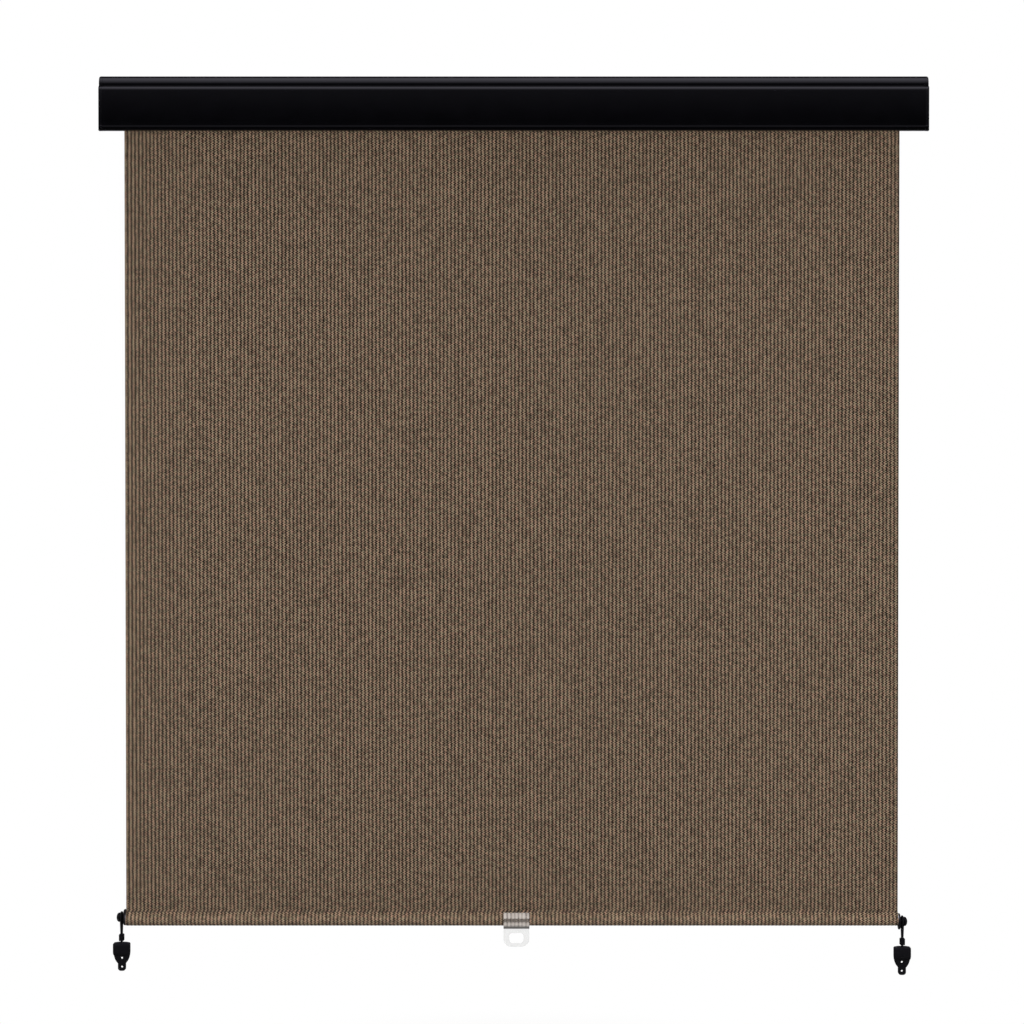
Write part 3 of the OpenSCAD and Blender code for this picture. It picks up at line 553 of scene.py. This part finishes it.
class SHADE_OT_stage(bpy.types.Operator):
    """Camera, lamps, white world and floor"""

    bl_idname = "shade.stage"
    bl_label = "Stage"

    def execute(self, context):
        self.camera(context)
        self.lamps(context)
        self.world(context)
        self.floor(context)
        context.scene.view_settings.view_transform = "Standard"
        return {"FINISHED"}

    def camera(self, context):
        """Square on to the shade and tipped down a little, so the cloth narrows towards the hem"""
        away, across, tip = 5.5, 2.259, math.radians(0.9)
        aim = Vector((-0.0039, VALANCE_LOW.y, -0.903))
        data = bpy.data.cameras.new("camera")
        data.sensor_width = 36.0
        data.lens = data.sensor_width * away / across
        camera = bpy.data.objects.new("camera", data)
        camera.location = aim + away * Vector((0, -math.cos(tip), math.sin(tip)))
        camera.rotation_euler = (math.pi / 2 - tip, 0, 0)
        context.collection.objects.link(camera)
        context.scene.camera = camera

    def lamps(self, context):
        """A long softbox overhead, a tall one at each side and one behind"""
        middle = Vector((0, PANEL_Y, -0.9))
        for name, place, size, power in (
            ("overhead", Vector((0, -0.55, 2.3)), (3.4, 0.6), 20),
            ("left_side", Vector((-3.4, -3.6, -0.85)), (1.6, 2.0), 126),
            ("right_side", Vector((3.4, -3.6, -0.85)), (1.6, 2.0), 126),
            ("behind", Vector((0, 4.4, 0.4)), (3.0, 1.6), 112),
        ):
            data = bpy.data.lights.new(name, "AREA")
            data.shape = "RECTANGLE"
            data.size, data.size_y = size
            data.energy = power
            lamp = bpy.data.objects.new(name, data)
            lamp.location = place
            lamp.visible_glossy = False
            lamp.rotation_euler = (middle - place).to_track_quat("-Z", "Y").to_euler()
            context.collection.objects.link(lamp)

    def world(self, context):
        """White to the camera and through clear plastic, and for gloss a sky that darkens towards the horizon"""
        fill, least, horizon, zenith, cool = 0.16, 0.004, 0.17, 1.25, (0.97, 0.94, 1.11)
        world = bpy.data.worlds.new("studio")
        world.use_nodes = True
        net = Net(world.node_tree)
        rays = net.add("ShaderNodeLightPath").outputs
        glossy = rays["Is Glossy Ray"]
        seen = net.math("MAXIMUM", rays["Is Camera Ray"], rays["Is Transmission Ray"])
        _, toward, above = net.parts(net.add("ShaderNodeTexCoord").outputs["Generated"])
        sky = net.span(above, horizon, 1.0, smooth=False)
        sky = net.math("MULTIPLY_ADD", sky, net.span(toward, -0.2, 0.4, zenith, 0.05), least)
        gloss = net.math("MAXIMUM", sky, net.span(toward, 0.8, 1.0, 0.0, 0.4))
        ambient = net.math("ADD", net.math("MULTIPLY", glossy, net.math("SUBTRACT", gloss, fill)), fill)
        strength = net.math("MAXIMUM", seen, ambient)
        back = net.add("ShaderNodeBackground", net.mix(glossy, (1.0, 1.0, 1.0), cool), strength)
        net.tree.links.new(back.outputs[0], net.add("ShaderNodeOutputWorld").inputs[0])
        context.scene.world = world

    def floor(self, context):
        """Pale floor that keeps the shadow near the shade and fades to the white world further off"""
        level = CAD_BOX[0].z - context.scene.shade_sizes.floor_drop
        reach, pale, glow, fade = 9.0, (0.82, 0.82, 0.82), 0.35, (0.3, 1.05)
        bm = bmesh.new()
        bmesh.ops.create_circle(bm, cap_ends=True, segments=96, radius=reach)
        bmesh.ops.translate(bm, verts=bm.verts, vec=(0, 0, level))
        mesh = bpy.data.meshes.new("floor")
        bm.to_mesh(mesh)
        bm.free()
        floor = bpy.data.objects.new("floor", mesh)
        context.collection.objects.link(floor)
        finish = bpy.data.materials.new("pale_floor")
        finish.use_nodes = True
        net = Net(finish.node_tree)
        flat = net.stretch(net.place(), (1, 1, 0))
        away = net.add("ShaderNodeVectorMath", flat, operation="LENGTH").outputs["Value"]
        rays = net.add("ShaderNodeLightPath").outputs
        camera = rays["Is Camera Ray"]
        seen = net.math("MULTIPLY", camera, net.span(away, *fade))
        dim = net.math("MAXIMUM", seen, net.math("MULTIPLY", rays["Is Glossy Ray"], 0.85))
        net.surface(
            Base_Color=net.mix(dim, pale, (0.0, 0.0, 0.0)), Roughness=0.9, Specular_IOR_Level=0.0,
            Emission_Color=(1.0, 1.0, 1.0),
            Emission_Strength=net.math("MULTIPLY", camera, net.math("MULTIPLY_ADD", seen, 1 - glow, glow)),
        )
        mesh.materials.append(finish)


class SHADE_OT_tethers(bpy.types.Operator):
    """Elastic loops over the rail's knobs, with their tails knotted in the hold-down brackets"""

    bl_idname = "shade.tethers"
    bl_label = "Tethers"

    # Route of a loop and of a tail from the knob's axis, in millimetres of y and z, and of z and radius
    loop_route = (
        (-2.7, -46), (-2.7, -39), (-4.2, -31), (-6.4, -20), (-8.8, -9), (-10.4, -2), (-10.5, 2.4), (-9, 6), (-6, 9),
        (-2.3, 10.6), (2.3, 10.6), (6, 9), (9, 6), (10.5, 2.4), (10.4, -2), (8.8, -9), (6.4, -20), (4.2, -31),
        (2.7, -39), (2.7, -46),
    )
    tail_route = (
        (-48.2, 2.5), (-56, 2.5), (-64, 2.5), (-67, 2.5), (-68, 3.8), (-70, 4.6), (-73, 4.6), (-75, 3.6), (-76, 2),
    )

    def execute(self, context):
        cord = context.scene.shade_sizes.cord
        sides, up = 14, Vector((1, 0, 0))
        for side in SIDES:
            post = Vector(JOINTS[side + "_hold_down_swing"]["pos_m"])
            body = side + "_hold_down"
            path = smooth_path([post + Vector((0, y, z)) / 1000 for y, z in self.loop_route], 3)
            bm = tube(path, [cord / 2] * len(path), sides, up)
            loop = put_piece(context, side + "_loop", bm, "tether_cord", body, "tether_cord", [side + "_tether"], 60)
            line = [post + Vector((0, 0, z)) / 1000 for z, _ in self.tail_route]
            bm = tube(line, [radius / 1000 for _, radius in self.tail_route], sides, up)
            tail = put_piece(context, side + "_tail", bm, "tether_cord", body, "tether_cord", smooth=60)
            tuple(path[0])
            run_lengths(path)[-1]
        return {"FINISHED"}


class SHADE_OT_valance(bpy.types.Operator):
    """Valance drawn as one outline with rounded corners, and its end caps"""

    bl_idname = "shade.valance"
    bl_label = "Valance"

    def execute(self, context):
        bm = bmesh.new()
        corners = self.outline()
        verts = [bm.verts.new((VALANCE_LOW.x, y / 1000, z / 1000)) for y, z, _ in corners]
        bm.faces.new(verts)
        for vert, (_, _, radius) in zip(verts, corners):
            if radius:
                bmesh.ops.bevel(
                    bm, geom=[vert], offset=radius / 1000, offset_type="OFFSET", affect="VERTICES",
                    segments=max(4, round(radius * 1.2)), profile=0.5, material=-1,
                )
        made = bmesh.ops.extrude_face_region(bm, geom=bm.faces[:])["geom"]
        moved = [item for item in made if isinstance(item, bmesh.types.BMVert)]
        bmesh.ops.translate(bm, verts=moved, vec=(VALANCE_HIGH.x - VALANCE_LOW.x, 0, 0))
        bmesh.ops.recalc_face_normals(bm, faces=bm.faces)
        piece = put_piece(context, "valance_shell", bm, "valance_black", "head", "valance_black", ["valance"], 50)
        level_normals(piece)
        for side in SIDES:
            dress(context, side + "_end_cap", 0.8)
        return {"FINISHED"}

    def outline(self):
        """Corners of the section as y, z and rounding in millimetres, out over the face and back along the inside"""
        top, low, back = 1000 * VALANCE_HIGH.z, 1000 * VALANCE_LOW.z, 1000 * VALANCE_HIGH.y
        wall, shoulder, ledge, lip, stand, bow = 2.4, 90.5, 24.5, 12.0, 0.35, 2.2
        shoulder_round, inner_round, ledge_round, foot_round, edge = 18.5, 15.6, 8.5, 3.6, 0.8
        rise, above, below = 6.5, 6.0, 2.75
        face, bead, head = 1000 * VALANCE_LOW.y + stand, low + rise, top - ledge
        drop = head - bead - above - 0.2
        bowed = [(face + bow * (1 - i / 8) ** 2, head - i / 8 * drop) for i in range(1, 8)]
        swell = [
            (face - stand * (0.5 + 0.5 * math.cos(math.pi * i / 5)), bead - i / 5 * (above if i < 0 else below))
            for i in range(-5, 6)
        ]
        roof, hook = top - wall, 1.6
        tab, reach, foot, tab_room = -30.0, 13.9, 4.0, 3.1
        hook_low = roof - tab_room - hook
        hooks = [
            (tab - reach, roof), (tab - reach, hook_low), (tab - reach + foot, hook_low),
            (tab - reach + foot, hook_low + hook), (tab - reach + hook, hook_low + hook), (tab - reach + hook, roof),
        ]
        mirrored = [(2 * tab - y, z) for y, z in reversed(hooks)]
        return [
            (back, top, 0), (-shoulder, top, shoulder_round), (-shoulder, head, edge), (face + bow, head, ledge_round),
            *[(y, z, 0) for y, z in bowed + swell], (face, low, foot_round), (face + lip, low, edge),
            (face + lip, low + wall, edge), (face + wall, low + wall, 1.5),
            *[(y + wall, z, 0) for y, z in reversed(bowed)], (face + bow + wall, head - wall, ledge_round - wall),
            (-shoulder + wall, head - wall, 2.0), (-shoulder + wall, roof, inner_round),
            *[(y, z, 0) for y, z in hooks], *[(y, z, 0) for y, z in mirrored], (back, roof, 0),
        ]


class SHADE_OT_cloth(bpy.types.Operator):
    """Hanging cloth, the turns left on the roller, the hem and its seam"""

    bl_idname = "shade.cloth"
    bl_label = "Cloth"

    def execute(self, context):
        sizes = context.scene.shade_sizes
        panel = self.panel(context, sizes)
        roll = self.roll(context, sizes)
        hem = self.hem(context, sizes)
        seam = self.seam(context, sizes)
        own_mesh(panel)
        return {"FINISHED"}

    def rib(self, sizes, s):
        """Height of the cloth's face above its middle at s across the cloth"""
        wave = abs(math.sin(math.pi * s * sizes.rib_count))
        return CLOTH_T / 2 - sizes.rib_height * (1 - wave ** 1.3)

    def panel(self, context, sizes):
        """Ribbed on both faces and sewn into the hem's seam at the bottom"""
        tuck, broad, fine = 0.0025, 0.0007, 0.0005
        bottom = PANEL_LOW.z - tuck
        height = PANEL_HIGH.z - bottom

        def side(sign):
            def place(s, t):
                ease = math.sin(math.pi * t)
                sway = broad * ease * math.sin(11 * s + 3 * t) + fine * ease * math.sin(29 * s - 5 * t)
                depth = PANEL_Y + sway + sign * self.rib(sizes, s)
                return Vector((CLOTH_LEFT + s * CLOTH_W, depth, bottom + t * height))

            return place

        columns, rows = sizes.rib_count * 6, 20
        bm = thick_sheet(columns, rows, side(-1), side(1), lambda s, t: (s * CLOTH_W, t * height))
        return put_piece(context, "cloth_panel", bm, "shade_cloth", "head", "shade_cloth", ["fabric_panel"], 60)

    def roll(self, context, sizes):
        """Spiral of cloth wound inwards from the panel's top to the channel in the tube"""
        outer = ROLL_HIGH.y - AXLE_Y - CLOTH_T
        turns, gap, steps = 2.25, 0.00005, 144
        pitch = CLOTH_T + gap
        length = turns * 2 * math.pi * (outer - turns * pitch / 2)

        def side(rise):
            def place(s, t):
                angle = 2 * math.pi * turns * t
                radius = outer - pitch * turns * t + rise
                return Vector((CLOTH_LEFT + s * CLOTH_W, AXLE_Y + radius * math.cos(angle), radius * math.sin(angle)))

            return place

        bm = thick_sheet(sizes.rib_count, steps, side(CLOTH_T), side(0), lambda s, t: (s * CLOTH_W, t * length))
        return put_piece(context, "cloth_roll", bm, "shade_cloth", "roller", "shade_cloth", ["fabric_roll"], 60)

    def hem(self, context, sizes):
        """Sleeve round the rail, drawn up to the seam"""
        outer = RAIL_Z - HEM_LOW.z
        peak = HEM_HIGH.z - RAIL_Z
        start = math.acos(outer / math.hypot(CLOTH_T, peak)) - math.atan2(CLOTH_T, peak)

        def section(t, inset):
            """Point of the sleeve's section, from the front of the seam round the rail to the back of the seam"""
            flank = 0.14
            radius, half = outer - inset, CLOTH_T - inset * 0.85
            rise = peak - inset * 2.2
            if t < flank or t > 1 - flank:
                share = min(t, 1 - t) / flank
                foot = (radius * math.cos(start), radius * math.sin(start))
                side = -1 if t < flank else 1
                tip = (half, rise)
                return side * (tip[0] + (foot[0] - tip[0]) * share), tip[1] + (foot[1] - tip[1]) * share
            angle = math.pi - start + (t - flank) / (1 - 2 * flank) * (math.pi + 2 * start)
            return radius * math.cos(angle), radius * math.sin(angle)

        def side(inset):
            def place(s, t):
                extra = 0 if inset else self.rib(sizes, s) - CLOTH_T / 2
                y, z = section(t, inset - extra)
                return Vector((CLOTH_LEFT + s * CLOTH_W, PANEL_Y + y, RAIL_Z + z))

            return place

        length = 2 * math.pi * outer
        shift = 0.31 * CLOTH_W / sizes.rib_count
        columns, rows = sizes.rib_count * 4, 44
        bm = thick_sheet(columns, rows, side(0), side(CLOTH_T), lambda s, t: (s * CLOTH_W + shift, t * length))
        return put_piece(context, "cloth_hem", bm, "two_layer_hem_painted_shading", "rail", "shade_cloth", ["hem"], 60)

    def seam(self, context, sizes):
        """Row of stitches through both faces just under the hem's seam"""
        bm = bmesh.new()
        count = round(CLOTH_W / sizes.stitch)
        below, slant, share = 0.0012, 0.09, 0.40
        across = Matrix.Rotation(math.pi / 2, 4, "Y")
        level = HEM_HIGH.z - below
        peak = HEM_HIGH.z - RAIL_Z
        out = CLOTH_T + below * math.tan(math.asin((RAIL_Z - HEM_LOW.z) / peak))
        for face in (-1, 1):
            for index in range(count):
                middle = Vector((CLOTH_LEFT + (index + 0.5) * CLOTH_W / count, PANEL_Y + face * out, level))
                shape = Matrix.Translation(middle) @ Matrix.Rotation(slant, 4, "Y") @ Matrix.Diagonal(
                    (sizes.stitch * share, sizes.thread / 2, sizes.thread / 2, 1)
                )
                bmesh.ops.create_uvsphere(bm, u_segments=6, v_segments=4, radius=1.0, matrix=shape @ across)
        return put_piece(context, "hem_stitches", bm, "sewing_thread", "rail", "shade_cloth", smooth=80)


class SHADE_OT_rail(bpy.types.Operator):
    """Rail tube, end plugs with knobs, pull clip, ferrules and hold-down brackets"""

    bl_idname = "shade.rail"
    bl_label = "Rail and hold-downs"

    def execute(self, context):
        keep(context, "rail_tube")
        dress(context, "pull_clip", 1.4)
        for side in SIDES:
            dress(context, side + "_rail_plug", 1.2)
            dress(context, side + "_ferrule")
            dress(context, side + "_hold_down_bracket", 1.6)
        return {"FINISHED"}


class SHADE_OT_roller(bpy.types.Operator):
    """Wall brackets, roller tube, plugs, pin, shaft and springs"""

    bl_idname = "shade.roller"
    bl_label = "Roller and brackets"

    def execute(self, context):
        keep(context, "roller_tube", "fabric_spline", "idle_pin", "shaft_clip", "idle_bush", "spring_shaft")
        for node in ("left_bracket", "right_bracket", "idle_plug", "spring_plug", "spring_anchor"):
            dress(context, node, 0.8)
        self.coil(context, "lift_spring", mean=0.023, pitch=0.010, wire=0.002)
        self.coil(context, "brake_spring", mean=0.0212, pitch=0.0024, wire=0.0016)
        return {"FINISHED"}

    def coil(self, context, node, mean, pitch, wire):
        """Round wire wound where the node's solid is"""
        low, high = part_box(node)
        start, stop, radius = low.x + wire / 2, high.x - wire / 2, mean / 2
        per_turn, sides = 24, 8
        count = round((stop - start) / pitch * per_turn)
        path = []
        for index in range(count + 1):
            angle = 2 * math.pi * index / per_turn
            along = start + (stop - start) * index / count
            path.append(Vector((along, AXLE_Y + radius * math.cos(angle), radius * math.sin(angle))))
        bm = tube(path, [wire / 2] * len(path), sides, Vector((1, 0, 0)))
        put_piece(context, node + "_wire", bm, "spring_steel", "roller", "spring_steel", [node], 60)


class SHADE_PT_panel(bpy.types.Panel):
    """Lists the groups of pieces in the order in which they are made"""

    bl_idname = "SHADE_PT_panel"
    bl_label = "Outdoor roller shade"
    bl_space_type = "VIEW_3D"
    bl_region_type = "UI"
    bl_category = "Shade"

    def draw(self, context):
        for settings in (context.scene.shade_sizes, context.scene.shade_colours):
            box = self.layout.box()
            for name in settings.__annotations__:
                box.prop(settings, name)
        for operator in OPERATORS:
            self.layout.operator(operator.bl_idname)


OPERATORS = (SHADE_OT_stage, SHADE_OT_tethers, SHADE_OT_valance, SHADE_OT_cloth, SHADE_OT_rail, SHADE_OT_roller)
CLASSES = (ShadeSizes, ShadeColours, *OPERATORS, SHADE_PT_panel)


def register():
    for cls in CLASSES:
        bpy.utils.register_class(cls)
    bpy.types.Scene.shade_sizes = PointerProperty(type=ShadeSizes)
    bpy.types.Scene.shade_colours = PointerProperty(type=ShadeColours)


def unregister():
    del bpy.types.Scene.shade_colours
    del bpy.types.Scene.shade_sizes
    for cls in reversed(CLASSES):
        bpy.utils.unregister_class(cls)


def main():
    register()
    bpy.ops.shade.stage()
    bpy.ops.shade.tethers()
    bpy.ops.shade.valance()
    bpy.ops.shade.cloth()
    bpy.ops.shade.rail()
    bpy.ops.shade.roller()


if __name__ == "__main__":
    main()
